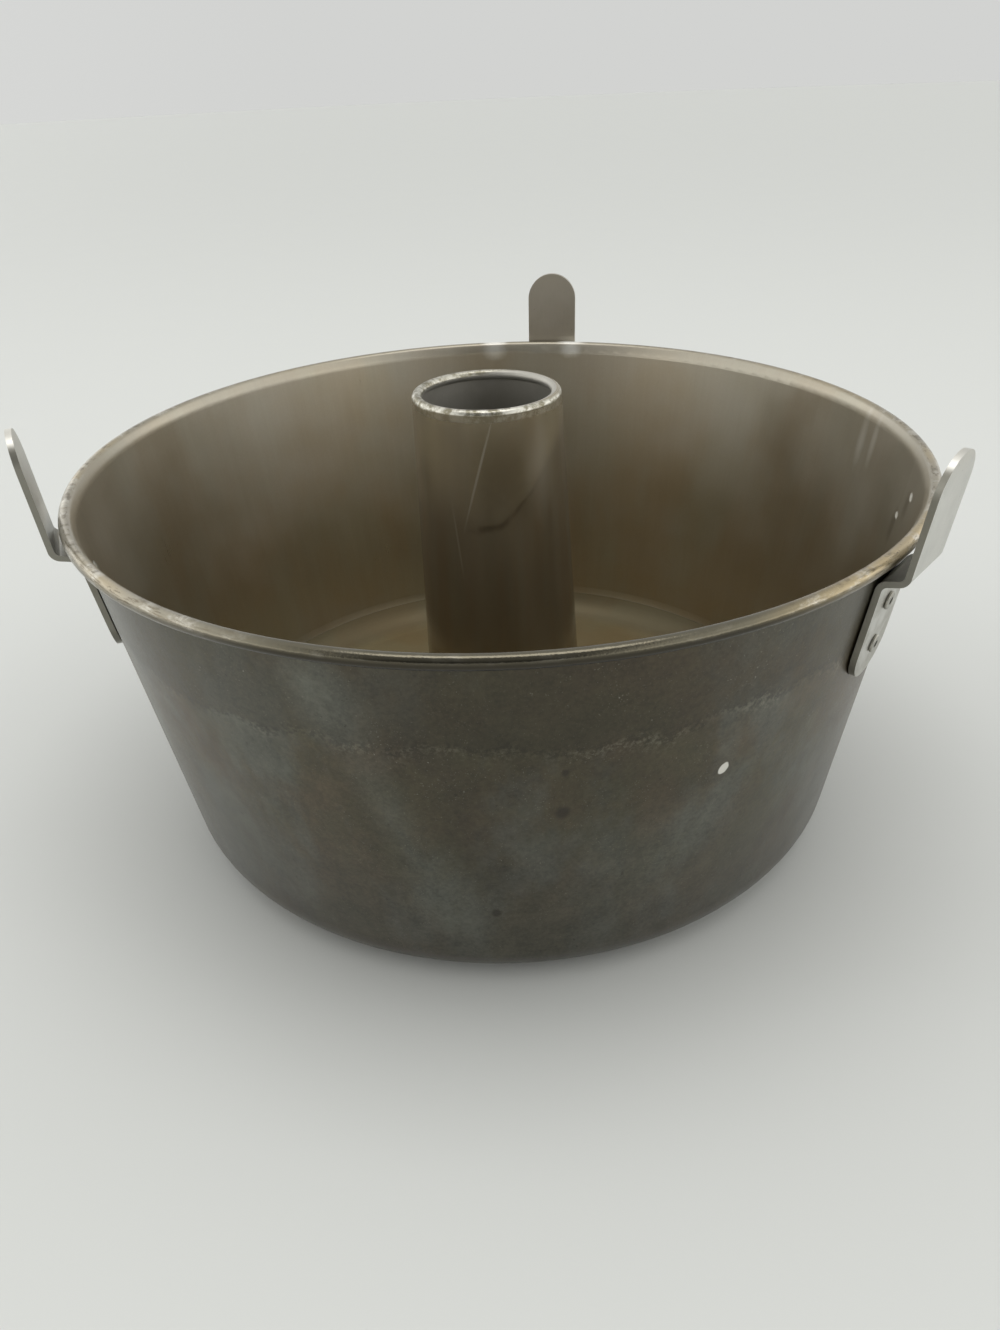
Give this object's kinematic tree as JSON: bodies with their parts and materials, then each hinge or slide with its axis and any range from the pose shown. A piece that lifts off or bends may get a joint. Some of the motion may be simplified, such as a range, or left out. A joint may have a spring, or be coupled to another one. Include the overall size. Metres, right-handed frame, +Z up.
{
  "type": "angel food cake pan",
  "caption": "Tapered round cake pan with a wired rolled rim, a lift-out bottom with an open centre tube, and riveted cooling legs that stand above the rim.",
  "frame": {"origin": "on the pan's axis, in the plane that its bottom stands on", "axes": "+Z up along the pan's axis; +Y toward one of the cooling legs; the others lie 120 degrees to either side of it"},
  "size_m": [0.254, 0.26, 0.1395],
  "materials": {
    "pan_sheet": "satin sheet with a dark mottled patina",
    "rim_wire": "drawn wire",
    "plate_sheet": "bronze-brown bake stain over satin sheet",
    "tube_sheet": "dark brown stain over polished sheet",
    "leg_strip": "dull, pale grey strip with worn edges",
    "rivets": "dull, stained round the rim"
  },
  "bodies": {
    "pan": {"pan_shell": "pan_sheet", "rim_wire": "rim_wire", "leg_back": "leg_strip", "leg_left": "leg_strip", "leg_right": "leg_strip", "rivet_back_lower": "rivets", "rivet_back_upper": "rivets", "rivet_left_lower": "rivets", "rivet_left_upper": "rivets", "rivet_right_lower": "rivets", "rivet_right_upper": "rivets"},
    "insert": {"bottom_plate": "plate_sheet", "centre_tube": "tube_sheet"}
  },
  "joints": [
    {"name": "insert_lift", "type": "slide", "parent": "pan", "child": "insert", "axis": [0, 0, 1], "range_m": [0, 0.145]}
  ]
}
